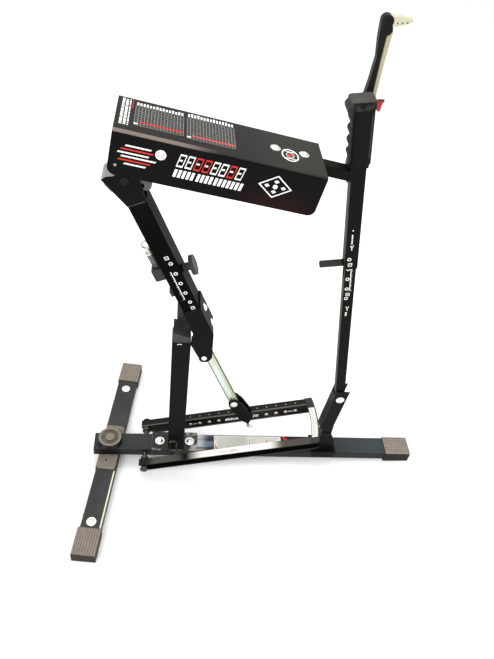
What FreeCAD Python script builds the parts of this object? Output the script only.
"""Baseball pitching machine, foot powered, on a folding T base.

Everything is modelled in a bench frame first, in millimetres: X runs along the base tube
from the front leg to the rear foot, +Y is the throwing-arm side and +Z is up. The front
of the base tube rides on top of the cross leg and its rear end lies on the floor, so the
whole machine is turned by FLOOR_TILT at the end, and its origin is then moved to the
middle of the bounding box at floor level.
"""
import FreeCAD, Part
import math
import os

from FreeCAD import Rotation, Vector

# ---------------------------------------------------------------- driving dimensions
# floor and cross leg
FLOOR_SLOPE = 28.5 / 783.0          # rise of the base tube over its length
LEG_YAW = 6.75                      # degrees the leg is turned from square
LEG_HALF = 291.0
LEG_BOTTOM, LEG_TOP = 2.5, 27.5
LEG_WIDTH, LEG_WALL = 50.0, 2.0
CAP_LENGTH, CAP_WALL = 66.0, 2.5
LEG_BOLT_NEAR, LEG_BOLT_FAR = -208.0, 197.0
SADDLE_THICK, SADDLE_LENGTH, SADDLE_WIDTH = 4.0, 132.0, 47.0
SADDLE_GAP = 0.05                   # keeps the folding saddle just clear of the base tube

KNOB_RADIUS, KNOB_FLUTES = 28.0, 16

# base tube
BASE_FRONT, BASE_REAR = -36.0, 780.0
BASE_WIDTH, BASE_HEIGHT, BASE_WALL = 50.0, 25.0, 2.0
BASE_BOTTOM = LEG_TOP + SADDLE_THICK
BASE_TOP = BASE_BOTTOM + BASE_HEIGHT

# post
POST_FRONT, POST_REAR = 144.0, 184.0
POST_DEPTH, POST_WALL, POST_TOP = 50.0, 2.0, 441.0
BRACKET_FRONT, BRACKET_REAR, BRACKET_THICK = 104.0, 219.0, 3.0
POST_BOLTS = (124.0, 199.0)

# the three pivots of the adjustable triangle (x, z)
BEAM_PIVOT = (214.0, 401.0)
HEAD_PIVOT = (55.0, 822.0)
MAST_PIVOT = (548.0, 258.0)

# inclined beam
BEAM_ANGLE = -23.5
BEAM_END = (74.5, 778.0)            # middle of the beam's upper end
BEAM_WIDTH, BEAM_DEPTH, BEAM_WALL = 35.0, 50.0, 2.0
BEAM_LENGTH = 320.0
INDEX_PITCH, INDEX_COUNT, INDEX_RADIUS = 25.4, 5, 2.2
BEAM_INDEX_V, BEAM_INDEX_FIRST = 6.0, -139.5
BEAM_KNOB_HEIGHT = -174.0
FOOT_BOLT_HEIGHTS = (-285.0, -330.0)
CATCH_V = -29.0                     # the storage catch's line in front of the beam
PLATE = 3.0

# spring box, in its own frame: x along the box, z up, origin at the front top edge
BOX_ANGLE = 9.49
BOX_ORIGIN = (41.8, 929.9)
BOX_LENGTH, BOX_WIDTH, BOX_HEIGHT = 348.6, 122.0, 75.1
COVER_WALL, COVER_CORNER = 2.0, 13.0
COVER_BOLTS = (263.0, 314.0)
FLOOR_LOW, FLOOR_HIGH = -71.0, -68.0
CARRIAGE_X, BLOCK_X = 92.0, 232.0
SPRING_YS, SPRING_Z = (-30.0, -3.0, 24.0), -32.0
CABLE_ENTRY, CABLE_TUBE = 4.0, 52.0
STRAP_THICK = 1.6

# mast, in its own frame: origin at its lower pivot, z along the mast
MAST_ANGLE = -9.41
SLEEVE_WIDTH, SLEEVE_WALL = 26.0, 1.9
INNER_WIDTH, INNER_WALL = 22.0, 1.8
SLEEVE_BOTTOM, SLEEVE_TOP = 400.0, 722.0
INNER_TOP = 520.0
MAST_PIN_HEIGHT = 408.0
ARM_AXIS_HEIGHT = 575.7
GRIP_LOW, GRIP_HIGH, GRIP_REAR = 619.0, 738.0, 19.0
BAR_LOW, BAR_HIGH = -22.0, -3.0      # the bar to the box, in the box's frame

# pedal, in its own frame: origin at its shaft, x along the rails
PEDAL_PIVOT = (88.0, 43.5)
PEDAL_ANGLE = -14.3
RAIL_FRONT, RAIL_LENGTH, RAIL_WALL = -11.0, 435.0, 2.5
RAIL_INNER, RAIL_OUTER, RAIL_TOP = 50.0, 69.0, 11.0
NEAR_RAIL_LOW, FAR_RAIL_LOW = -13.0, -24.0
FAR_TOE_LENGTH, FAR_TOE_RISE = 48.0, 12.0    # lets the folding leg pass under the deep rail
RAIL_HOLE_FIRST, RAIL_HOLE_PITCH, RAIL_HOLE_COUNT = 115.0, 25.0, 12
RAIL_HOLE_LEVEL = -7.0
PIN_HOLE = 6                        # the rail hole that the speed pin is in
SHAFT_RADIUS, BUSH_RADIUS = 6.0, 7.5

# pull line on the throwing-arm side
PULL_PLANE = 37.0
LINK_LOWER = (302.0, 184.0)
LINK_UPPER = (206.0, 399.0)
LINK_WIDTH, LINK_DEPTH, LINK_WALL = 22.0, 16.0, 2.5
LINK_PIN_RADIUS = 4.0
OPEN_LINK_CLEARANCE = 5.0           # the eye that lets the pull line follow the beam
OPEN_MAST_CLEARANCE = 2.4           # the mast foot's hole round its bolt
ROD_RADIUS = 5.0
GUIDE_HEIGHTS = (-172.0, -250.0)     # on the beam, measured down from its upper end
CABLE_RADIUS = 2.0
ROD_TOP, BORE_DEPTH, CABLE_OVERLAP = -92.0, 50.0, 45.0

TRIGGER_PLACE = (14.0, 714.0)

# throwing arm
ARM_NEAR, ARM_FAR = 46.0, 60.0
DRUM_RADIUS, DRUM_NEAR, DRUM_FAR = 11.5, 29.0, 45.0
ARM_SHAFT_RADIUS = 6.0

FIT = 0.05                          # radial clearance of a running fit
Y_AXIS = Vector(0, 1, 0)

parts = {}


# ---------------------------------------------------------------- shape helpers
def block(x0, x1, y0, y1, z0, z1):
    return Part.makeBox(x1 - x0, y1 - y0, z1 - z0, Vector(x0, y0, z0))


def rod(radius, start, direction, length):
    return Part.makeCylinder(radius, length, Vector(*start), Vector(*direction))


def rod_y(radius, x, z, y0, y1):
    return rod(radius, (x, y0, z), (0, 1, 0), y1 - y0)


def plate_xz(points, y0, y1):
    """A flat plate: an outline in the XZ plane, from y0 to y1."""
    corners = [Vector(x, y0, z) for x, z in points]
    wire = Part.makePolygon(corners + corners[:1])
    return Part.Face(wire).extrude(Vector(0, y1 - y0, 0))


def plate_xy(points, z0, z1):
    corners = [Vector(x, y, z0) for x, y in points]
    wire = Part.makePolygon(corners + corners[:1])
    return Part.Face(wire).extrude(Vector(0, 0, z1 - z0))


def fuse(*shapes):
    result = shapes[0].fuse(list(shapes[1:]))
    return result.removeSplitter()


def cut(shape, *tools):
    return shape.cut(list(tools)).removeSplitter()


def rounded_block(x0, x1, y0, y1, z0, z1, radius, direction):
    """A block whose edges along one axis are rounded."""
    shape = block(x0, x1, y0, y1, z0, z1)
    edges = [e for e in shape.Edges if abs(e.tangentAt(e.FirstParameter).dot(Vector(*direction))) > 0.99]
    return shape.makeFillet(radius, edges)


def square_tube(width, depth, wall, z0, z1, radius=3.0):
    """A square or oblong tube along Z, with rounded outer corners."""
    outer = rounded_block(-width / 2, width / 2, -depth / 2, depth / 2, z0, z1, radius, (0, 0, 1))
    inner = block(-width / 2 + wall, width / 2 - wall, -depth / 2 + wall, depth / 2 - wall, z0 - 1, z1 + 1)
    return cut(outer, inner)


def domed_bolt(head_radius, head_height, shank_radius, length, washer_radius=0.0, washer_height=1.2):
    """A domed bolt whose head stands on z = 0 and whose shank runs down."""
    sphere_radius = (head_radius ** 2 + head_height ** 2) / (2 * head_height)
    base = washer_height if washer_radius else 0.0
    dome = Part.makeSphere(sphere_radius, Vector(0, 0, base + head_height - sphere_radius))
    head = dome.common(Part.makeCylinder(head_radius, head_height, Vector(0, 0, base)))
    shank = Part.makeCylinder(shank_radius, length + base, Vector(0, 0, -length))
    pieces = [head, shank]
    if washer_radius:
        pieces.append(Part.makeCylinder(washer_radius, washer_height))
    return fuse(*pieces)


def hex_nut(across_flats, height, hole_radius):
    corner = across_flats / math.sqrt(3)
    angles = [math.radians(60 * i) for i in range(6)]
    points = [(corner * math.cos(a), corner * math.sin(a)) for a in angles]
    return cut(plate_xy(points, 0, height), Part.makeCylinder(hole_radius, height + 2, Vector(0, 0, -1)))


def aimed(shape, position, direction):
    """Turn a shape built along +Z to a new direction and put it at a position."""
    result = shape.copy()
    result.Placement = FreeCAD.Placement(Vector(*position), Rotation(Vector(0, 0, 1), Vector(*direction)))
    return result


def in_frame(shape, origin, angle):
    """Take a shape from a part's own frame, turned about Y, to the bench frame."""
    result = shape.copy()
    result.Placement = FreeCAD.Placement(Vector(origin[0], 0, origin[1]), Rotation(Y_AXIS, angle)).multiply(
        result.Placement)
    return result


def frame_point(local, origin, angle):
    a = math.radians(angle)
    x, z = local
    return (origin[0] + x * math.cos(a) + z * math.sin(a), origin[1] - x * math.sin(a) + z * math.cos(a))


def local_point(point, origin, angle):
    a = math.radians(angle)
    dx, dz = point[0] - origin[0], point[1] - origin[1]
    return (dx * math.cos(a) - dz * math.sin(a), dx * math.sin(a) + dz * math.cos(a))


def coil(pitch, height, radius, wire_radius):
    """A coil spring along +Z, as a swept helix."""
    helix = Part.makeHelix(pitch, height, radius)
    start = Vector(radius, 0, 0)
    profile = Part.Wire(Part.makeCircle(wire_radius, start, Vector(0, 1, pitch / (2 * math.pi * radius))))
    return Part.Wire(helix).makePipeShell([profile], True, True)


def group(*shapes):
    return Part.makeCompound(list(shapes))


# ---------------------------------------------------------------- front leg
def yawed(shape):
    result = shape.copy()
    result.rotate(Vector(0, 0, 0), Vector(0, 0, 1), -LEG_YAW)
    return result


def leg_tube():
    length = LEG_HALF - CAP_WALL
    half = LEG_WIDTH / 2
    outer = rounded_block(-half, half, -length, length, LEG_BOTTOM, LEG_TOP, 3.0, (0, 1, 0))
    inner = block(-half + LEG_WALL, half - LEG_WALL, -length - 1, length + 1,
                  LEG_BOTTOM + LEG_WALL, LEG_TOP - LEG_WALL)
    holes = [rod(3.05, (0, y, 0), (0, 0, 1), 40) for y in (LEG_BOLT_NEAR, LEG_BOLT_FAR)]
    centre = rod(6.0 + FIT, (0, 0, 0), (0, 0, 1), 40)
    return yawed(cut(outer, inner, centre, *holes))


def leg_cap(side):
    """A ribbed rubber end cap with a sole that lies flat on the floor."""
    end = side * LEG_HALF
    start = side * (LEG_HALF - CAP_LENGTH)
    low, high = min(start, end), max(start, end)
    half = LEG_WIDTH / 2 + CAP_WALL
    shell = rounded_block(-half, half, low, high, -6.0, LEG_TOP + CAP_WALL, 4.0, (0, 1, 0))
    pocket_low = low - 1 if side > 0 else low + CAP_WALL
    pocket_high = high - CAP_WALL if side > 0 else high + 1
    pocket = block(-LEG_WIDTH / 2, LEG_WIDTH / 2, pocket_low, pocket_high, LEG_BOTTOM, LEG_TOP)
    ribs = [block(x - 0.9, x + 0.9, low - 1, high + 1, LEG_TOP + CAP_WALL - 0.8, LEG_TOP + CAP_WALL + 1)
            for x in range(-21, 22, 6)]
    return yawed(cut(shell, pocket, *ribs))


def leg_saddle():
    """The moulded pad between the leg and the base tube, with a small screw hole."""
    half, end = SADDLE_WIDTH / 2, SADDLE_LENGTH / 2
    pad = rounded_block(-half, half, -end, end, LEG_TOP, BASE_BOTTOM - SADDLE_GAP, 8.0, (0, 0, 1))
    centre = rod(6.0 + FIT, (0, 0, 0), (0, 0, 1), 40)
    screw_hole = rod(2.6, (-3.0, -41.0, LEG_TOP), (0, 0, 1), 10)
    return yawed(cut(pad, centre, screw_hole))


def leg_bolts():
    bolt = domed_bolt(8.0, 2.2, 3.0, 24.0, washer_radius=11.0, washer_height=1.0)
    return group(*[yawed(aimed(bolt, (0, y, LEG_TOP), (0, 0, 1))) for y in (LEG_BOLT_NEAR, LEG_BOLT_FAR)])


# ---------------------------------------------------------------- base and post
def base_tube():
    half = BASE_WIDTH / 2
    end = BASE_REAR - CAP_WALL
    outer = rounded_block(BASE_FRONT, end, -half, half, BASE_BOTTOM, BASE_TOP, 3.0, (1, 0, 0))
    inner = block(BASE_FRONT - 1, end + 1, -half + BASE_WALL, half - BASE_WALL,
                  BASE_BOTTOM + BASE_WALL, BASE_TOP - BASE_WALL)
    stud = rod(6.0 + FIT, (0, 0, 0), (0, 0, 1), 70)
    shaft = rod_y(SHAFT_RADIUS + FIT, PEDAL_PIVOT[0], PEDAL_PIVOT[1], -40, 40)
    bolts = [rod(4.05, (x, 0, BASE_TOP - 10), (0, 0, 1), 20) for x in POST_BOLTS]
    return cut(outer, inner, stud, shaft, *bolts)


def base_front_plug():
    half = BASE_WIDTH / 2
    flange = rounded_block(BASE_FRONT - 3, BASE_FRONT, -half, half, BASE_BOTTOM, BASE_TOP, 2.5, (1, 0, 0))
    body = block(BASE_FRONT, BASE_FRONT + 16, -half + BASE_WALL, half - BASE_WALL,
                 BASE_BOTTOM + BASE_WALL, BASE_TOP - BASE_WALL)
    return fuse(flange, body)


def base_rear_cap():
    half = BASE_WIDTH / 2 + CAP_WALL
    shell = rounded_block(BASE_REAR - CAP_LENGTH, BASE_REAR, -half, half, 22.0, BASE_TOP + CAP_WALL, 4.0,
                          (1, 0, 0))
    pocket = block(BASE_REAR - CAP_LENGTH - 1, BASE_REAR - CAP_WALL, -BASE_WIDTH / 2, BASE_WIDTH / 2,
                   BASE_BOTTOM, BASE_TOP)
    ribs = [block(BASE_REAR - CAP_LENGTH - 1, BASE_REAR + 1, y - 0.9, y + 0.9,
                  BASE_TOP + CAP_WALL - 0.8, BASE_TOP + CAP_WALL + 1) for y in range(-21, 22, 6)]
    return cut(shell, pocket, *ribs)


def knob_stud():
    """The carriage bolt that the leg turns on, with its head under the leg."""
    shank = rod(6.0, (0, 0, 5.0), (0, 0, 1), 60)
    head = rod(11.0, (0, 0, LEG_BOTTOM + LEG_WALL + 0.05), (0, 0, 1), 3.0)
    return fuse(shank, head)


def leg_knob():
    """A low round clamping knob: a fluted skirt, a raised rim and a button in a dish."""
    low, high = BASE_TOP + 1.5, BASE_TOP + 17.5
    body = Part.makeCone(KNOB_RADIUS + 2.0, KNOB_RADIUS, high - low, Vector(0, 0, low))
    neck = Part.makeCylinder(15.0, low - BASE_TOP, Vector(0, 0, BASE_TOP))
    flutes = []
    for i in range(KNOB_FLUTES):
        angle = 2 * math.pi * i / KNOB_FLUTES
        reach = KNOB_RADIUS + 4.6
        flutes.append(rod(4.0, (reach * math.cos(angle), reach * math.sin(angle), low - 1), (0, 0, 1), 13.0))
    dish = rod(21.5, (0, 0, high - 2.0), (0, 0, 1), 3.0).cut(rod(11.5, (0, 0, high - 3.0), (0, 0, 1), 5.0))
    bore = rod(6.0 + FIT, (0, 0, BASE_TOP - 1), (0, 0, 1), 10.0)
    return cut(fuse(body, neck), dish, bore, *flutes)


def post_tube():
    depth = POST_DEPTH / 2
    outer = rounded_block(POST_FRONT, POST_REAR, -depth, depth, BASE_TOP + BRACKET_THICK, POST_TOP, 3.0,
                          (0, 0, 1))
    inner = block(POST_FRONT + POST_WALL, POST_REAR - POST_WALL, -depth + POST_WALL, depth - POST_WALL,
                  BASE_TOP, POST_TOP + 1)
    return cut(outer, inner)


def post_bracket():
    """The folded saddle that the post is welded to, with a strap loop on the near side."""
    half = BASE_WIDTH / 2
    top = block(BRACKET_FRONT, BRACKET_REAR, -half - BRACKET_THICK, half + BRACKET_THICK,
                BASE_TOP, BASE_TOP + BRACKET_THICK)
    sides = [block(BRACKET_FRONT, BRACKET_REAR, y, y + BRACKET_THICK, BASE_TOP - 14, BASE_TOP + 1)
             for y in (-half - BRACKET_THICK, half)]
    loop_y = -half - BRACKET_THICK
    ring = cut(rounded_block(148, 168, loop_y - 4, loop_y, 38, 100, 3.0, (0, 1, 0)),
               block(152, 164, loop_y - 5, loop_y + 1, 42, 96))
    holes = [rod(4.05, (x, 0, BASE_TOP - 1), (0, 0, 1), 10) for x in POST_BOLTS]
    return cut(fuse(top, ring, *sides), *holes)


def post_bolts():
    top = BASE_TOP + BRACKET_THICK
    bolt = domed_bolt(8.5, 4.5, 4.0, BRACKET_THICK + 14, washer_radius=11.5)
    nut = hex_nut(13.0, 6.5, 4.0)
    pieces = []
    for x in POST_BOLTS:
        one_nut = aimed(nut, (x, 0, BASE_TOP - BASE_WALL - 6.5), (0, 0, 1))
        pieces.append(fuse(aimed(bolt, (x, 0, top), (0, 0, 1)), one_nut))
    return group(*pieces)


def post_top_plug():
    """The moulded plug in the post's top, with a sloped block and a pointed fin behind it."""
    depth = POST_DEPTH / 2 - POST_WALL
    body = block(POST_FRONT + POST_WALL, POST_REAR - POST_WALL, -depth, depth, POST_TOP - 22, POST_TOP + 2)
    cap = plate_xz([(POST_FRONT + 2, POST_TOP), (POST_REAR - 1, POST_TOP),
                    (POST_REAR - 1, POST_TOP + 16), (POST_FRONT + 2, POST_TOP + 28)], -depth, depth)
    fin = plate_xz([(153.0, POST_TOP + 10), (152.0, 522.0), (155.0, 522.0), (173.0, 478.0),
                    (174.5, POST_TOP + 10)], depth - 3.0, depth)
    return fuse(body, cap, fin)


def post_lug():
    """Two ears welded behind the post, which carry the beam's lower pivot."""
    x, z = BEAM_PIVOT
    outline = [(POST_REAR, 436.0), (POST_REAR, 462.0), (204.0, 455.0), (225.5, 404.0), (225.5, 396.0),
               (219.0, 390.0), (209.0, 390.0), (203.5, 396.0)]
    ears = []
    for low in (-24.8, 20.8):
        ear = plate_xz(outline, low, low + 4.0)
        ears.append(cut(ear, rod_y(5.0 + FIT, x, z, low - 1, low + 5)))
    return group(*ears)


def beam_pivot_bolts():
    """A domed bolt on the near side and, where the pull link passes, a flush riveted pin."""
    x, z = BEAM_PIVOT
    bolt = aimed(domed_bolt(6.2, 3.2, 5.0, 14.0), (x, -28.1, z), (0, -1, 0))
    nut = aimed(hex_nut(14.0, 5.5, 5.0), (x, -20.8, z), (0, 1, 0))
    rivet = fuse(rod_y(5.0, x, z, 15.0, 28.0), rod_y(8.0, x, z, 15.0, 20.75))
    return group(fuse(bolt, nut), rivet)


def rear_bracket():
    """The leaning channel that holds the mast's foot, on a gusseted saddle over the tube."""
    outline = [(533.7, 286.0), (566.0, 286.0), (552.5, 140.0), (521.5, 140.0)]
    pocket = [(536.4, 287.0), (567.5, 287.0), (553.9, 139.0), (524.2, 139.0)]
    upper = cut(plate_xz(outline, -14.5, 14.5), plate_xz(pocket, -12.0, 12.0),
                block(500, 537.5, -12, 12, 268, 290))
    foot = cut(block(529.5, 556, -12, 12, BASE_TOP, 152), block(532, 557, -9.5, 9.5, BASE_TOP - 1, 153))
    gusset = [(520, BASE_TOP), (574, BASE_TOP), (555, 124), (530, 124), (530, 84), (520, 63)]
    gussets = [plate_xz(gusset, y, y + 2.5) for y in (-14.5, 12.0)]
    half = BASE_WIDTH / 2
    saddle = block(512, 578, -half - BRACKET_THICK, half + BRACKET_THICK, BASE_TOP, BASE_TOP + BRACKET_THICK)
    sides = [block(516, 574, y, y + BRACKET_THICK, BASE_TOP - 16, BASE_TOP + 1)
             for y in (-half - BRACKET_THICK, half)]
    shape = fuse(upper, foot, saddle, *gussets, *sides)
    return cut(shape, rod_y(5.0 + FIT, MAST_PIVOT[0], MAST_PIVOT[1], -20, 20))


def mast_pivot_bolt():
    bolt = domed_bolt(8.0, 5.0, 5.0, 36.0, washer_radius=10.0)
    x, z = MAST_PIVOT
    placed = aimed(bolt, (x, -14.5, z), (0, -1, 0))
    nut = aimed(hex_nut(15.0, 6.0, 5.0), (x, 14.5, z), (0, 1, 0))
    return fuse(placed, nut)


# ---------------------------------------------------------------- pedal
def pedal(shape):
    return in_frame(shape, PEDAL_PIVOT, PEDAL_ANGLE)


def rail_hole_places():
    return [RAIL_HOLE_FIRST + RAIL_HOLE_PITCH * i for i in range(RAIL_HOLE_COUNT)]


def pedal_rail_near():
    """A channel rail, open outwards, with a row of holes in its web."""
    outer = block(RAIL_FRONT, RAIL_LENGTH, -RAIL_OUTER, -RAIL_INNER, NEAR_RAIL_LOW, RAIL_TOP)
    hollow = block(RAIL_FRONT - 1, RAIL_LENGTH + 1, -RAIL_OUTER - 1, -RAIL_INNER - RAIL_WALL,
                   NEAR_RAIL_LOW + RAIL_WALL, RAIL_TOP - RAIL_WALL)
    shaft = rod_y(BUSH_RADIUS + FIT, 0, 0, -RAIL_OUTER - 1, -RAIL_INNER + 1)
    holes = [rod_y(3.2, x, -2.0, -RAIL_OUTER - 1, -RAIL_INNER + 1) for x in rail_hole_places()]
    return pedal(cut(outer, hollow, shaft, *holes))


def pedal_rail_far():
    """The deeper rail on the pull side: holes through its web, dimples in its top flange."""
    outer = block(RAIL_FRONT, RAIL_LENGTH, RAIL_INNER, RAIL_OUTER, FAR_RAIL_LOW, RAIL_TOP)
    hollow = block(RAIL_FRONT - 1, RAIL_LENGTH + 1, RAIL_INNER + RAIL_WALL, RAIL_OUTER + 1,
                   FAR_RAIL_LOW + RAIL_WALL, RAIL_TOP - RAIL_WALL)
    short_lip = block(RAIL_FRONT - 1, RAIL_LENGTH + 1, RAIL_INNER + 5.0, RAIL_OUTER + 1,
                      FAR_RAIL_LOW - 1, RAIL_TOP - RAIL_WALL)
    toe = plate_xz([(RAIL_FRONT, FAR_RAIL_LOW), (RAIL_FRONT, FAR_RAIL_LOW + FAR_TOE_RISE),
                    (RAIL_FRONT + FAR_TOE_LENGTH, FAR_RAIL_LOW)], RAIL_INNER - 1, RAIL_OUTER + 1)
    shaft = rod_y(BUSH_RADIUS + FIT, 0, 0, RAIL_INNER - 1, RAIL_OUTER + 1)
    holes = [rod_y(3.2, x, RAIL_HOLE_LEVEL, RAIL_INNER - 1, RAIL_OUTER + 1) for x in rail_hole_places()]
    dimples = [rod(2.6, (x + 3.0, RAIL_INNER + 10.0, RAIL_TOP - 0.8), (0, 0, 1), 5)
               for x in rail_hole_places()]
    return pedal(cut(outer, hollow, short_lip, toe, shaft, *holes, *dimples))


def pedal_tread():
    """The bowed tread that joins the rails at the rear, with a turned-down lip."""
    half, bow, front, rear = RAIL_OUTER, 7.0, 417.0, RAIL_LENGTH + 1.0

    def outline(x, z):
        arc = Part.Arc(Vector(x, -half, z), Vector(x + bow, 0, z), Vector(x, half, z))
        return arc.toShape()

    def slab(x0, x1, z0, z1):
        first = outline(x0, z0)
        second = outline(x1, z0)
        ends = [Part.LineSegment(Vector(x0, y, z0), Vector(x1, y, z0)).toShape() for y in (-half, half)]
        wire = Part.Wire(Part.__sortEdges__([first, second] + ends))
        return Part.Face(wire).extrude(Vector(0, 0, z1 - z0))

    tread = slab(front, rear, RAIL_TOP, RAIL_TOP + 3)
    lip = slab(rear - 3, rear, RAIL_TOP - 10, RAIL_TOP + 3)
    rails = [block(front - 60, rear + 30, y0, y1, -40, RAIL_TOP)
             for y0, y1 in ((-half - 1, -RAIL_INNER), (RAIL_INNER, half + 1))]
    return pedal(fuse(tread, cut(lip, *rails)))


def pedal_bushes():
    """A flanged bush in each rail, running on the shaft."""
    pieces = []
    for side in (-1, 1):
        inner, outer = side * (RAIL_INNER - 3.0), side * (RAIL_OUTER - 2.0)
        sleeve = rod_y(BUSH_RADIUS, 0, 0, min(inner, outer), max(inner, outer))
        flange_y = sorted((side * (RAIL_INNER - 3.0), side * RAIL_INNER))
        flange = rod_y(10.0, 0, 0, *flange_y)
        bore = rod_y(SHAFT_RADIUS + FIT, 0, 0, -80, 80)
        pieces.append(pedal(cut(fuse(sleeve, flange), bore)))
    return group(*pieces)


def pedal_shaft():
    """The cross shaft of the pedal, with a collar inside each rail and a head at each end."""
    x, z = PEDAL_PIVOT
    bar = rod_y(SHAFT_RADIUS, x, z, -72.5, 72.5)
    collars = [rod_y(10.0, x, z, y, y + 6) for y in (-46.5, 40.5)]
    heads = [rod_y(9.5, x, z, y, y + 3) for y in (-75.5, 72.5)]
    return fuse(bar, *collars, *heads)


def pedal_lug():
    """The fork that joins the far rail to the pull link."""
    x, z = LINK_LOWER
    outline = [(x - 14, z + 4), (x - 8, z + 13), (x + 6, z + 14), (x + 22, z - 2), (x + 53, z - 50),
               (x + 44, z - 78), (x + 20, z - 60), (x - 12, z - 8)]
    tongue = [(x + 30, z - 60), (x + 52, z - 60), (x + 52, z - 88), (x + 37, z - 90)]
    near = plate_xz(outline, 23.5, 27.0)
    far = fuse(plate_xz(outline, 46.5, 50.0), plate_xz(tongue, 46.5, 50.0))
    bridge = plate_xz([(x + 36, z - 58), (x + 50, z - 56), (x + 45, z - 74), (x + 40, z - 72)], 27.0, 46.5)
    fork = fuse(near, far, bridge)
    return cut(fork, rod_y(5.0 + FIT, x, z, 20, 55), rod_y(3.2, *speed_pin_place(), 20, 60))


def speed_pin_place():
    """Where the pull pin passes through the lug's far plate and the rail's web."""
    return frame_point((rail_hole_places()[PIN_HOLE], RAIL_HOLE_LEVEL), PEDAL_PIVOT, PEDAL_ANGLE)


def speed_pin():
    """The pull pin that sets the lug's place on the rail, with a collar and a small ring."""
    x, z = speed_pin_place()
    shank = rod_y(3.15, x, z, 20.5, 57.0)
    collar = rod_y(4.6, x, z, 20.5, 23.4)
    ring = Part.makeTorus(5.0, 1.3, Vector(x + 5.5, 22.0, z - 2.5), Vector(0, 1, 0))
    return fuse(shank, collar, ring)


def link_pivot_bolt():
    x, z = LINK_LOWER
    bolt = domed_bolt(7.5, 4.5, 5.0, 32.0, washer_radius=9.0)
    placed = aimed(bolt, (x, 23.5, z), (0, -1, 0))
    nut = aimed(hex_nut(14.0, 5.0, 5.0), (x, 50.0, z), (0, 1, 0))
    return fuse(placed, nut)


# ---------------------------------------------------------------- pull line
def link_angle():
    dx = LINK_UPPER[0] - LINK_LOWER[0]
    dz = LINK_UPPER[1] - LINK_LOWER[1]
    return math.degrees(math.atan2(dx, dz))


def link_length():
    return math.dist(LINK_LOWER, LINK_UPPER)


def draw_link():
    """A pressed channel, open to the rear, between the pedal's lug and the draw rod."""
    length = link_length()
    half = LINK_WIDTH / 2
    y0, y1 = PULL_PLANE - LINK_DEPTH / 2, PULL_PLANE + LINK_DEPTH / 2
    outer = rounded_block(-half, half, y0, y1, -11, length + 11, 5.0, (0, 0, 1))
    hollow = block(-half + LINK_WALL, half + 1, y0 + LINK_WALL, y1 - LINK_WALL, -12, length + 12)
    relief = block(-half - 1, half + 1, y0 + LINK_WALL, y1 - LINK_WALL, length - 24, length + 12)
    holes = [rod_y(5.0 + FIT, 0, 0, y0 - 1, y1 + 1), rod_y(LINK_PIN_RADIUS, 0, length, y0 - 1, y1 + 1)]
    return in_frame(cut(outer, hollow, relief, *holes), LINK_LOWER, link_angle())


def draw_link_pin():
    x, z = LINK_UPPER
    y0, y1 = PULL_PLANE - LINK_DEPTH / 2, PULL_PLANE + LINK_DEPTH / 2
    return fuse(rod_y(LINK_PIN_RADIUS, x, z, y0 - 0.5, y1 + 1.5), rod_y(6.0, x, z, y1, y1 + 1.5))


def beam(shape):
    return in_frame(shape, BEAM_END, BEAM_ANGLE)


def rod_offset():
    """How far the draw rod's line lies from the beam's middle line, and where its eye is."""
    return local_point(LINK_UPPER, BEAM_END, BEAM_ANGLE)


def draw_rod():
    """The rod along the beam's far side, with an eye at its foot and a cable socket on top."""
    v, foot = rod_offset()
    eye_radius = LINK_PIN_RADIUS + OPEN_LINK_CLEARANCE
    shank = rod(ROD_RADIUS, (v, PULL_PLANE, foot + 22), (0, 0, 1), ROD_TOP - 4 - foot - 22)
    tongue = block(v - 8, v + 8, PULL_PLANE - 3, PULL_PLANE + 3, foot + 9, foot + 40)
    eye = rod_y(eye_radius + 3.0, v, foot, PULL_PLANE - 3, PULL_PLANE + 3)
    socket = rod(7.0, (v, PULL_PLANE, ROD_TOP - 20), (0, 0, 1), 20.0)
    hole = rod_y(eye_radius, v, foot, 0, 60)
    bore = rod(CABLE_RADIUS + 0.4, (v, PULL_PLANE, ROD_TOP - BORE_DEPTH), (0, 0, 1), BORE_DEPTH + 1)
    return beam(cut(fuse(shank, tongue, eye, socket), hole, bore))


def rod_guides():
    """Two eyes on the beam's far side that the draw rod slides in."""
    v = rod_offset()[0]
    pieces = []
    for z in GUIDE_HEIGHTS:
        outer = block(v - 10, -2.0, BEAM_DEPTH / 2, PULL_PLANE + 9, z - 7, z + 7)
        pieces.append(beam(cut(outer, rod(ROD_RADIUS + FIT, (v, PULL_PLANE, z - 8), (0, 0, 1), 16))))
    return group(*pieces)


def pulley_radius():
    return local_point(HEAD_PIVOT, BEAM_END, BEAM_ANGLE)[0] - rod_offset()[0]


def draw_cable():
    """The cable from inside the draw rod, up and over the head pulley."""
    v = rod_offset()[0]
    pivot = local_point(HEAD_PIVOT, BEAM_END, BEAM_ANGLE)
    radius = pulley_radius()
    centre = Vector(pivot[0], PULL_PLANE, pivot[1])

    def rim(angle):
        return centre + Vector(math.cos(angle), 0, math.sin(angle)) * radius

    start = Vector(v, PULL_PLANE, ROD_TOP - CABLE_OVERLAP)
    end_angle = math.pi / 2 + math.radians(4.0) - math.radians(BOX_ANGLE - BEAM_ANGLE)
    arc = Part.Arc(rim(math.pi), rim((math.pi + end_angle) / 2), rim(end_angle))
    path = Part.Wire([Part.LineSegment(start, rim(math.pi)).toShape(), arc.toShape()])
    profile = Part.Wire(Part.makeCircle(CABLE_RADIUS, start, Vector(0, 0, 1)))
    return beam(path.makePipeShell([profile], True, True))


def cable_run():
    """The cable's straight run under the box, from the pulley into the spring carriage."""
    pivot = local_point(HEAD_PIVOT, BOX_ORIGIN, BOX_ANGLE)
    level = pivot[1] + pulley_radius()
    length = CARRIAGE_X + CABLE_ENTRY - pivot[0]
    return box(rod(CABLE_RADIUS, (pivot[0], PULL_PLANE, level), (1, 0, 0), length))


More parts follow.
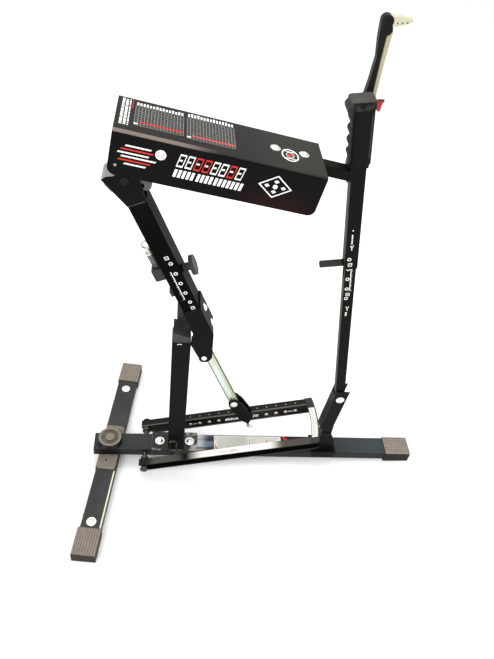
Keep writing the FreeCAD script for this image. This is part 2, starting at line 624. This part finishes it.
def cable_pulley():
    """A grooved pulley on the head pivot; its groove is where the cable lies."""
    x, z = HEAD_PIVOT
    radius = pulley_radius()
    y0, y1 = PULL_PLANE - 5, PULL_PLANE + 5
    wheel = rod_y(radius + 2.5, x, z, y0, y1)
    groove = cut(rod_y(radius + 6, x, z, PULL_PLANE - CABLE_RADIUS - 0.2, PULL_PLANE + CABLE_RADIUS + 0.2),
                 rod_y(radius - CABLE_RADIUS - 0.1, x, z, y0, y1))
    return cut(wheel, groove, rod_y(5.0 + FIT, x, z, y0 - 1, y1 + 1))


# ---------------------------------------------------------------- beam
def index_holes(v, first, y_half):
    return [rod_y(INDEX_RADIUS, v, first - INDEX_PITCH * i, -y_half, y_half) for i in range(INDEX_COUNT)]


def beam_tube():
    tube = square_tube(BEAM_WIDTH, BEAM_DEPTH, BEAM_WALL, -BEAM_LENGTH, 0)
    knob_hole = rod(5.0 + FIT, (0, 0, BEAM_KNOB_HEIGHT), (1, 0, 0), 40)
    return beam(cut(tube, knob_hole, *index_holes(BEAM_INDEX_V, BEAM_INDEX_FIRST, 40)))


def beam_inner_tube():
    """The inner tube that the beam telescopes on, clamped by the knob."""
    gap = 0.15
    width, depth = BEAM_WIDTH - 2 * BEAM_WALL - 2 * gap, BEAM_DEPTH - 2 * BEAM_WALL - 2 * gap
    tube = square_tube(width, depth, BEAM_WALL, -BEAM_LENGTH, -128.0, radius=1.0)
    return beam(cut(tube, *index_holes(BEAM_INDEX_V, BEAM_INDEX_FIRST, 40)))


def beam_foot():
    """The folded channel on the beam's foot, whose flanges hang on the post's ears."""
    half_w, half_d = BEAM_WIDTH / 2, BEAM_DEPTH / 2
    x, z = BEAM_PIVOT
    front_top = frame_point((-half_w, -262.0), BEAM_END, BEAM_ANGLE)
    front_low = frame_point((-half_w, -320.0), BEAM_END, BEAM_ANGLE)
    rear_low = frame_point((half_w + PLATE, -341.0), BEAM_END, BEAM_ANGLE)
    rear_top = frame_point((half_w + PLATE, -262.0), BEAM_END, BEAM_ANGLE)
    outline = [front_top, front_low, (front_low[0], 436.0), (202.5, 407.0), (203.0, 396.0), (208.5, 389.5),
               (219.5, 389.5), (226.0, 394.0), (231.0, 404.0), (rear_low[0], rear_low[1]), rear_top]
    near = plate_xz(outline, -half_d - PLATE, -half_d)
    far = plate_xz(outline, half_d, half_d + PLATE)
    web = beam(block(half_w, half_w + PLATE, -half_d - PLATE, half_d + PLATE, -341.0, -262.0))
    shape = fuse(near, far, web)
    bolt_holes = [beam(rod(3.05, (half_w - 1, 0, h), (1, 0, 0), 8)) for h in FOOT_BOLT_HEIGHTS]
    return cut(shape, rod_y(5.0 + FIT, x, z, -40, 40), *bolt_holes)


def beam_foot_bolts():
    bolt = domed_bolt(7.0, 4.5, 3.0, PLATE, washer_radius=8.5)
    return group(*[beam(aimed(bolt, (BEAM_WIDTH / 2 + PLATE, 0, h), (1, 0, 0))) for h in FOOT_BOLT_HEIGHTS])


def beam_head():
    """Cheek plates and a bent nose that carry the head pivot."""
    half_w, half_d = BEAM_WIDTH / 2, BEAM_DEPTH / 2
    front = frame_point((-half_w, 0), BEAM_END, BEAM_ANGLE)
    rear = frame_point((half_w, 0), BEAM_END, BEAM_ANGLE)
    outline = [front, rear, (86.5, 800.0), (80.0, 822.0), (66.0, 838.0), (48.0, 838.0), (36.0, 829.0),
               (24.0, 827.0), (16.0, 820.4)]
    cheeks = [plate_xz(outline, y, y + PLATE) for y in (-half_d, half_d - PLATE)]
    bend = [(16.0, 820.4), (24.0, 827.0), (36.0, 829.0), (36.0, 826.0), (25.2, 824.1), (20.0, 819.9),
            (27.0, 811.6), (24.8, 809.7)]
    nose = plate_xz(bend, -half_d + PLATE, half_d - PLATE)
    shape = fuse(nose, *cheeks)
    return cut(shape, rod_y(5.0 + FIT, *HEAD_PIVOT, -40, 40))


def head_pivot_bolt():
    """The long bolt through the beam's cheeks, the box's flanges and the cable pulley."""
    x, z = HEAD_PIVOT
    shank = rod_y(5.0, x, z, -25.0, 48.5)
    head = rod_y(7.5, x, z, -27.0, -25.0)
    collar = rod_y(8.0, x, z, 25.1, PULL_PLANE - 5.2)
    nut = rod_y(8.0, x, z, PULL_PLANE + 5.2, 48.5)
    return fuse(shank, head, collar, nut)


def beam_knob():
    """The clamp knob's disc, neck and screw."""
    half = BEAM_WIDTH / 2
    disc = rod(20.0, (half + 16, 0, BEAM_KNOB_HEIGHT), (1, 0, 0), 8)
    notches = []
    for i in range(8):
        y = 22.5 * math.cos(math.radians(45 * i))
        z = BEAM_KNOB_HEIGHT + 22.5 * math.sin(math.radians(45 * i))
        notches.append(rod(4.0, (half + 15, y, z), (1, 0, 0), 10))
    neck = rod(8.0, (half + 0.2, 0, BEAM_KNOB_HEIGHT), (1, 0, 0), 16)
    screw = rod(5.0, (half - 1.8, 0, BEAM_KNOB_HEIGHT), (1, 0, 0), 4)
    return beam(fuse(disc.cut(notches), neck, screw))


def catch_block():
    """The guide block of the storage catch, on the beam's front face."""
    half = BEAM_WIDTH / 2
    body = rounded_block(CATCH_V - 11, -half, -14, 14, -180.0, -152.0, 2.0, (0, 1, 0))
    return beam(cut(body, rod(5.0 + FIT, (CATCH_V, 0, -190), (0, 0, 1), 50)))


def catch_plunger():
    """The sprung catch rod with its collar and pull ring."""
    shank = rod(5.0, (CATCH_V, 0, -184.0), (0, 0, 1), 76.0)
    collar = rod(9.0, (CATCH_V, 0, -120.0), (0, 0, 1), 3.0)
    ring = Part.makeTorus(8.0, 2.0, Vector(CATCH_V, 0, -100.5), Vector(0, 1, 0))
    return beam(fuse(shank, collar, ring))


def catch_spring():
    spring = coil(5.6, 28.0, 6.9, 1.2)
    spring.translate(Vector(CATCH_V, 0, -150.4))
    return beam(spring)


# ---------------------------------------------------------------- spring box
def box(shape):
    return in_frame(shape, BOX_ORIGIN, BOX_ANGLE)


def box_cover():
    """The folded sheet cover: a top and two sides whose lower corners are rounded."""
    half = BOX_WIDTH / 2
    body = rounded_block(0, BOX_LENGTH, -half, half, -BOX_HEIGHT, 0, COVER_CORNER, (0, 1, 0))
    square_top = rounded_block(0, BOX_LENGTH, -half, half, -BOX_HEIGHT + COVER_CORNER, 0, 4.0, (1, 0, 0))
    body = fuse(body, square_top)
    body = body.common(rounded_block(-1, BOX_LENGTH + 1, -half, half, -BOX_HEIGHT - 20, 0, 4.0, (1, 0, 0)))
    hollow = block(-1, BOX_LENGTH + 1, -half + COVER_WALL, half - COVER_WALL, -BOX_HEIGHT - 5, -COVER_WALL)
    bolts = [rod(3.05, (x, 2.0, -10), (0, 0, 1), 20) for x in COVER_BOLTS]
    return box(cut(body, hollow, *bolts))


def box_chassis():
    """The steel tray in the cover: floor, end walls, side rails and the front hinge flanges."""
    half = BOX_WIDTH / 2 - COVER_WALL
    tray_front, tray_rear = 2.0, BOX_LENGTH - 2.0
    floor = block(tray_front + 12, tray_rear - 12, -half, half, FLOOR_LOW, FLOOR_HIGH)
    front = block(tray_front, tray_front + PLATE, -half, half, -58.0, -COVER_WALL)
    rear = block(tray_rear - PLATE, tray_rear, -half, half, -58.0, -COVER_WALL)
    front_ramp = plate_xz([(tray_front, -58.0), (tray_front + PLATE, -58.0), (tray_front + 14, FLOOR_HIGH),
                           (tray_front + 12, FLOOR_LOW)], -half, half)
    rear_ramp = plate_xz([(tray_rear, -58.0), (tray_rear - PLATE, -58.0), (tray_rear - 14, FLOOR_HIGH),
                          (tray_rear - 12, FLOOR_LOW)], -half, half)
    bridge = block(250, 327, -8, 12, -COVER_WALL - PLATE, -COVER_WALL)
    bridge_leg = block(324, tray_rear - 1, -8, 12, -COVER_WALL - PLATE, -COVER_WALL)
    pivot = local_point(HEAD_PIVOT, BOX_ORIGIN, BOX_ANGLE)
    outline = [(14, FLOOR_LOW), (78, FLOOR_LOW), (76, -112), (71, -117), (58, -119), (45, -117),
               (pivot[0], pivot[1] - 11), (pivot[0] - 10, pivot[1] - 5), (pivot[0] - 10, pivot[1] + 8)]
    flanges = [plate_xz(outline, y, y + PLATE) for y in (-20.0, 17.0)]
    shape = fuse(floor, front, rear, front_ramp, rear_ramp, bridge, bridge_leg, *flanges)
    strap_slot = block(tray_rear - 20, tray_rear + 5, PULL_PLANE - 10, PULL_PLANE + 8,
                       STRAP_Z - 6, STRAP_Z + 6)
    tab_slot = block(CARRIAGE_X - 42, CARRIAGE_X + CABLE_TUBE + 3, PULL_PLANE - 7, PULL_PLANE + 7,
                     FLOOR_LOW - 5, FLOOR_HIGH + 5)
    tab_hole = rod_y(4.6, 60.0, -110.5, -30, 30)
    bolts = [rod(3.05, (x, 2.0, -20), (0, 0, 1), 20) for x in COVER_BOLTS]
    return box(cut(shape, strap_slot, tab_slot, rod_y(5.0 + FIT, *pivot, -40, 40), tab_hole, *bolts))


def cover_bolts():
    bolt = domed_bolt(7.5, 4.0, 3.0, COVER_WALL + PLATE + 7, washer_radius=9.0)
    nut = hex_nut(10.0, 5.0, 3.0)
    pieces = []
    for x in COVER_BOLTS:
        top = aimed(bolt, (x, 2.0, 0), (0, 0, 1))
        under = aimed(nut, (x, 2.0, -COVER_WALL - PLATE - 5.0), (0, 0, 1))
        pieces.append(box(fuse(top, under)))
    return group(*pieces)


# where the throwing arm's shaft is, in the bench frame and in the box's frame
HUB = frame_point((0, ARM_AXIS_HEIGHT), MAST_PIVOT, MAST_ANGLE)
HUB_LOCAL = local_point(HUB, BOX_ORIGIN, BOX_ANGLE)
STRAP_Z = HUB_LOCAL[1] + DRUM_RADIUS + STRAP_THICK / 2


def spring_carriage():
    """The slider that the pedal pulls forward; a tab reaches the cable below the floor."""
    plate = block(CARRIAGE_X, CARRIAGE_X + 8, -52, 52, -60.0, -8.0)
    foot = block(CARRIAGE_X, CARRIAGE_X + 24, -52, 52, FLOOR_HIGH + 0.1, -60.0)
    pivot = local_point(HEAD_PIVOT, BOX_ORIGIN, BOX_ANGLE)
    level = pivot[1] + pulley_radius()
    tab = block(CARRIAGE_X, CARRIAGE_X + 10, PULL_PLANE - 5, PULL_PLANE + 5, level - 5, -60.0)
    tube = block(CARRIAGE_X, CARRIAGE_X + CABLE_TUBE, PULL_PLANE - 4, PULL_PLANE + 4, level - 4, level + 5)
    bore = rod(CABLE_RADIUS + 0.4, (CARRIAGE_X - 1, PULL_PLANE, level), (1, 0, 0), CABLE_TUBE - 3)
    eyes = [rod(3.05, (CARRIAGE_X - 1, y, SPRING_Z), (1, 0, 0), 12) for y in SPRING_YS]
    return box(cut(fuse(plate, foot, tab, tube), bore, *eyes))


def spring_block():
    """The slider that the throwing arm's strap pulls back against the springs."""
    plate = block(BLOCK_X, BLOCK_X + 10, -52, 52, -60.0, -14.0)
    foot = block(BLOCK_X - 14, BLOCK_X + 10, -52, 52, FLOOR_HIGH + 0.1, -60.0)
    eyes = [rod(3.05, (BLOCK_X - 1, y, SPRING_Z), (1, 0, 0), 12) for y in SPRING_YS]
    return box(cut(fuse(plate, foot), *eyes))


def power_springs():
    """Three close-wound extension springs between the carriage and the block."""
    pieces = []
    for y in SPRING_YS:
        length = BLOCK_X - CARRIAGE_X - 8
        barrel = cut(rod(9.5, (CARRIAGE_X + 20, y, SPRING_Z), (1, 0, 0), length - 24),
                     rod(6.5, (CARRIAGE_X + 23, y, SPRING_Z), (1, 0, 0), length - 30))
        hooks = [rod(3.0, (CARRIAGE_X, y, SPRING_Z), (1, 0, 0), 21),
                 rod(3.0, (BLOCK_X - 5, y, SPRING_Z), (1, 0, 0), 15)]
        pieces.append(box(fuse(barrel, *hooks)))
    return group(*pieces)


def spring_strap():
    """The steel strap from the spring block to the top of the arm's drum."""
    x, z = HUB_LOCAL
    width = 6.0
    flat = block(BLOCK_X + 10, x, PULL_PLANE - width, PULL_PLANE + width, STRAP_Z - STRAP_THICK / 2,
                 STRAP_Z + STRAP_THICK / 2)
    return box(flat)


# ---------------------------------------------------------------- mast
def mast(shape):
    return in_frame(shape, MAST_PIVOT, MAST_ANGLE)


def mast_holes(y_half):
    return [rod_y(INDEX_RADIUS, -4.5, 424.0 - INDEX_PITCH * i, -y_half, y_half) for i in range(INDEX_COUNT)]


def mast_sleeve():
    """The mast's outer tube, with the welded bar that carries the box's rear end."""
    tube = square_tube(SLEEVE_WIDTH, SLEEVE_WIDTH, SLEEVE_WALL, SLEEVE_BOTTOM, SLEEVE_TOP, radius=2.0)
    pin_hole = rod(5.0 + FIT, (-30, 0, MAST_PIN_HEIGHT), (1, 0, 0), 30)
    shaft_hole = rod_y(10.0 + FIT, 0, ARM_AXIS_HEIGHT, 0, 30)
    tube = mast(cut(tube, pin_hole, shaft_hole, *mast_holes(30)))
    start = BOX_LENGTH - 2.0
    bar = box(cut(rounded_block(start, start + 90, -13, 13, BAR_LOW, BAR_HIGH, 2.0, (1, 0, 0)),
                  block(start - 1, start + 100, -10.5, 10.5, BAR_LOW + 2.5, BAR_HIGH - 2.5)))
    keep_out = mast(block(-SLEEVE_WIDTH / 2, 60, -20, 20, 300, 800))
    return fuse(tube, cut(bar, keep_out))


def mast_inner():
    """The mast's lower tube, with a slot for the pin and a loose hole at its foot."""
    tube = square_tube(INNER_WIDTH, INNER_WIDTH, INNER_WALL, -14.0, INNER_TOP, radius=1.5)
    foot_hole = rod_y(5.0 + OPEN_MAST_CLEARANCE, 0, 0, -20, 20)
    slot = block(-INNER_WIDTH, 0, -4.2, 4.2, MAST_PIN_HEIGHT - 34, MAST_PIN_HEIGHT + 34)
    return mast(cut(tube, foot_hole, slot, *mast_holes(30)))


def mast_pin():
    """The pull pin whose grip bar stands out in front of the mast."""
    face = -SLEEVE_WIDTH / 2
    grip_bar = rod(7.0, (face - 47.0, 0, MAST_PIN_HEIGHT), (1, 0, 0), 46.8)
    front_edges = [e for e in grip_bar.Edges if abs(e.CenterOfMass.x - face + 47.0) < 0.1]
    grip_bar = grip_bar.makeFillet(3.0, front_edges)
    nose = rod(4.0, (face - 1.0, 0, MAST_PIN_HEIGHT), (1, 0, 0), 7.5)
    shank = rod(5.0, (face - 1.0, 0, MAST_PIN_HEIGHT), (1, 0, 0), 2.5)
    return mast(fuse(grip_bar, nose, shank))


def grip():
    """The moulded hand grip over the mast's top, with finger bumps in front."""
    body = rounded_block(-17, GRIP_REAR, -18, 18, GRIP_LOW + 8, GRIP_HIGH - 6, 8.0, (0, 0, 1))
    taper = rounded_block(-17, GRIP_REAR - 2, -15, 15, GRIP_LOW, GRIP_LOW + 9, 6.0, (0, 0, 1))
    cap = rounded_block(-22, GRIP_REAR + 1, -19, 19, GRIP_HIGH - 15, GRIP_HIGH, 7.0, (0, 0, 1))
    top_edges = [e for e in cap.Edges if e.CenterOfMass.z > GRIP_HIGH - 0.1]
    cap = cap.makeFillet(3.0, top_edges)
    lobe = rod_y(9.0, -17.5, GRIP_HIGH - 15.0, -16, 16)
    bumps = [rod_y(8.5, -11.5, GRIP_LOW + 22 + 21 * i, -15, 15) for i in range(4)]
    hollow = block(-SLEEVE_WIDTH / 2, SLEEVE_WIDTH / 2, -SLEEVE_WIDTH / 2, SLEEVE_WIDTH / 2,
                   GRIP_LOW - 1, SLEEVE_TOP)
    return mast(cut(fuse(body, taper, cap, lobe, *bumps), hollow))


def arm_bushes():
    """A blind bush inside the mast's near wall and a flanged one in its far wall."""
    half = SLEEVE_WIDTH / 2
    near = cut(rod_y(10.0, *HUB, -half + SLEEVE_WALL, -half + SLEEVE_WALL + 9.0),
               rod_y(ARM_SHAFT_RADIUS + FIT, *HUB, -half + SLEEVE_WALL + 1.5, 0))
    sleeve = rod_y(10.0, *HUB, half - SLEEVE_WALL - 3.0, half + 3.0)
    flange = rod_y(12.0, *HUB, half, half + 3.0)
    far = cut(fuse(sleeve, flange), rod_y(ARM_SHAFT_RADIUS + FIT, *HUB, 0, 40))
    return group(near, far)


# ---------------------------------------------------------------- throwing arm
def arm_shaft():
    """The shaft from a blind bush inside the mast to the nut outside the arm."""
    shaft = rod_y(ARM_SHAFT_RADIUS, *HUB, -9.5, ARM_FAR + 6)
    far_nut = rod_y(10.0, *HUB, ARM_FAR, ARM_FAR + 6)
    return fuse(shaft, far_nut)


def arm_drum():
    """The drum that takes up the spring strap as the arm is cocked."""
    wheel = rod_y(DRUM_RADIUS, *HUB, DRUM_NEAR, DRUM_FAR)
    rims = [rod_y(DRUM_RADIUS + 2, *HUB, y, y + 1.5) for y in (DRUM_NEAR, DRUM_FAR - 1.5)]
    hub = rod_y(9.5, *HUB, 16.2, DRUM_NEAR + 1)
    return cut(fuse(wheel, hub, *rims), rod_y(ARM_SHAFT_RADIUS, *HUB, 0, 80))


def arm_outline(points):
    """Points measured from the hub, in the bench frame's directions."""
    return [(HUB[0] + x, HUB[1] + z) for x, z in points]


def throwing_arm():
    """The moulded arm: a clamped hub, a tapered blade and a long rounded head."""
    hub = rod_y(14.0, *HUB, ARM_NEAR, ARM_FAR)
    blade = plate_xz(arm_outline([(-12, 0), (9, 0), (1.5, 150), (0.5, 205), (0.5, 257), (-13, 257),
                                  (-11, 232), (-7, 205), (-9, 165), (-13, 130)]), ARM_NEAR, ARM_FAR)
    head_low = rod_y(9.5, HUB[0] - 2.0, HUB[1] + 248.0, ARM_NEAR, ARM_FAR)
    head_high = rod_y(9.5, HUB[0] - 3.5, HUB[1] + 259.5, ARM_NEAR, ARM_FAR)
    return cut(fuse(hub, blade, head_low, head_high), rod_y(ARM_SHAFT_RADIUS, *HUB, 0, 80))


def arm_strip():
    """The pale wear strip along the arm's rear face."""
    strip = plate_xz(arm_outline([(1.0, 128), (8.5, 132), (8.5, 205), (9.5, 246), (1.0, 247)]),
                     ARM_NEAR + 2, ARM_FAR - 2)
    return cut(strip, throwing_arm())


def ball_finger():
    """The pale finger that the ball sits against, with three small holes."""
    body = plate_xz(arm_outline([(0, 253), (10, 252.5), (26, 257), (36.5, 262.5), (35, 265.5),
                                 (20, 267), (0, 268)]), ARM_NEAR + 1, ARM_FAR - 1)
    holes = [rod_y(1.4, HUB[0] + 12.5 + 7.5 * i, HUB[1] + 258 + 1.0 * i, 0, 90) for i in range(3)]
    return cut(body, throwing_arm(), *holes)


def trigger_lever():
    """The small release lever on the grip's far side."""
    x, z = frame_point(TRIGGER_PLACE, MAST_PIVOT, MAST_ANGLE)
    outline = [(x - 4, z - 3), (x + 4, z - 4), (x + 16, z - 2), (x + 17, z - 9), (x + 21, z - 9),
               (x + 23, z + 8), (x + 14, z + 9), (x, z + 5)]
    lever = plate_xz(outline, 20.0, 25.0)
    boss = rod_y(5.0, x, z, 20.0, 25.0)
    pin = rod_y(2.5, x, z, 19.2, 26.0)
    return fuse(lever, boss, pin)


# ---------------------------------------------------------------- assembly and export
def make_parts():
    parts["leg_tube"] = leg_tube()
    parts["leg_caps"] = group(leg_cap(-1), leg_cap(1))
    parts["leg_saddle"] = leg_saddle()
    parts["leg_bolts"] = leg_bolts()
    parts["leg_knob"] = leg_knob()
    for build in (base_tube, base_front_plug, base_rear_cap, knob_stud,
                  post_tube, post_bracket, post_bolts, post_top_plug, post_lug, beam_pivot_bolts,
                  rear_bracket, mast_pivot_bolt,
                  pedal_shaft, pedal_rail_near, pedal_rail_far, pedal_tread, pedal_bushes, pedal_lug,
                  speed_pin, link_pivot_bolt, draw_link, draw_link_pin, draw_rod, rod_guides,
                  draw_cable, cable_run, cable_pulley,
                  beam_tube, beam_inner_tube, beam_foot, beam_foot_bolts, beam_head, head_pivot_bolt,
                  beam_knob, catch_block, catch_plunger, catch_spring,
                  box_cover, box_chassis, cover_bolts, spring_carriage, spring_block, power_springs,
                  spring_strap,
                  mast_sleeve, mast_inner, mast_pin, grip, arm_bushes,
                  arm_shaft, arm_drum, throwing_arm, arm_strip, ball_finger, trigger_lever):
        parts[build.__name__] = build()


def set_on_floor():
    """Turn the bench model so that the rear foot comes down, and trim the rubber soles flat."""
    tilt = math.degrees(math.atan(FLOOR_SLOPE))
    for name, shape in parts.items():
        shape.rotate(Vector(0, 0, 0), Y_AXIS, tilt)
    below = Part.makeBox(2000, 2000, 100, Vector(-1000, -1000, -100))
    for name in ("leg_caps", "base_rear_cap"):
        solids = [solid.cut(below) for solid in parts[name].Solids]
        parts[name] = group(*solids) if len(solids) > 1 else solids[0]


def centre_and_export():
    bounds = FreeCAD.BoundBox()
    for shape in parts.values():
        bounds.add(shape.optimalBoundingBox(False))
    shift = Vector(-bounds.Center.x, -bounds.Center.y, -bounds.ZMin)
    os.makedirs("parts", exist_ok=True)
    for name, shape in parts.items():
        moved = shape.copy()
        moved.translate(shift)
        moved.exportStep("parts/" + name + ".step")
        broken = [s for s in moved.Solids if not s.isValid()]
        print(name, "solids", len(moved.Solids), "volume %.0f" % moved.Volume, "BROKEN" if broken else "")
    print("origin shift %.4f %.4f %.4f" % (shift.x, shift.y, shift.z))
    print("size %.1f %.1f %.1f" % (bounds.XLength, bounds.YLength, bounds.ZLength))


make_parts()
set_on_floor()
centre_and_export()
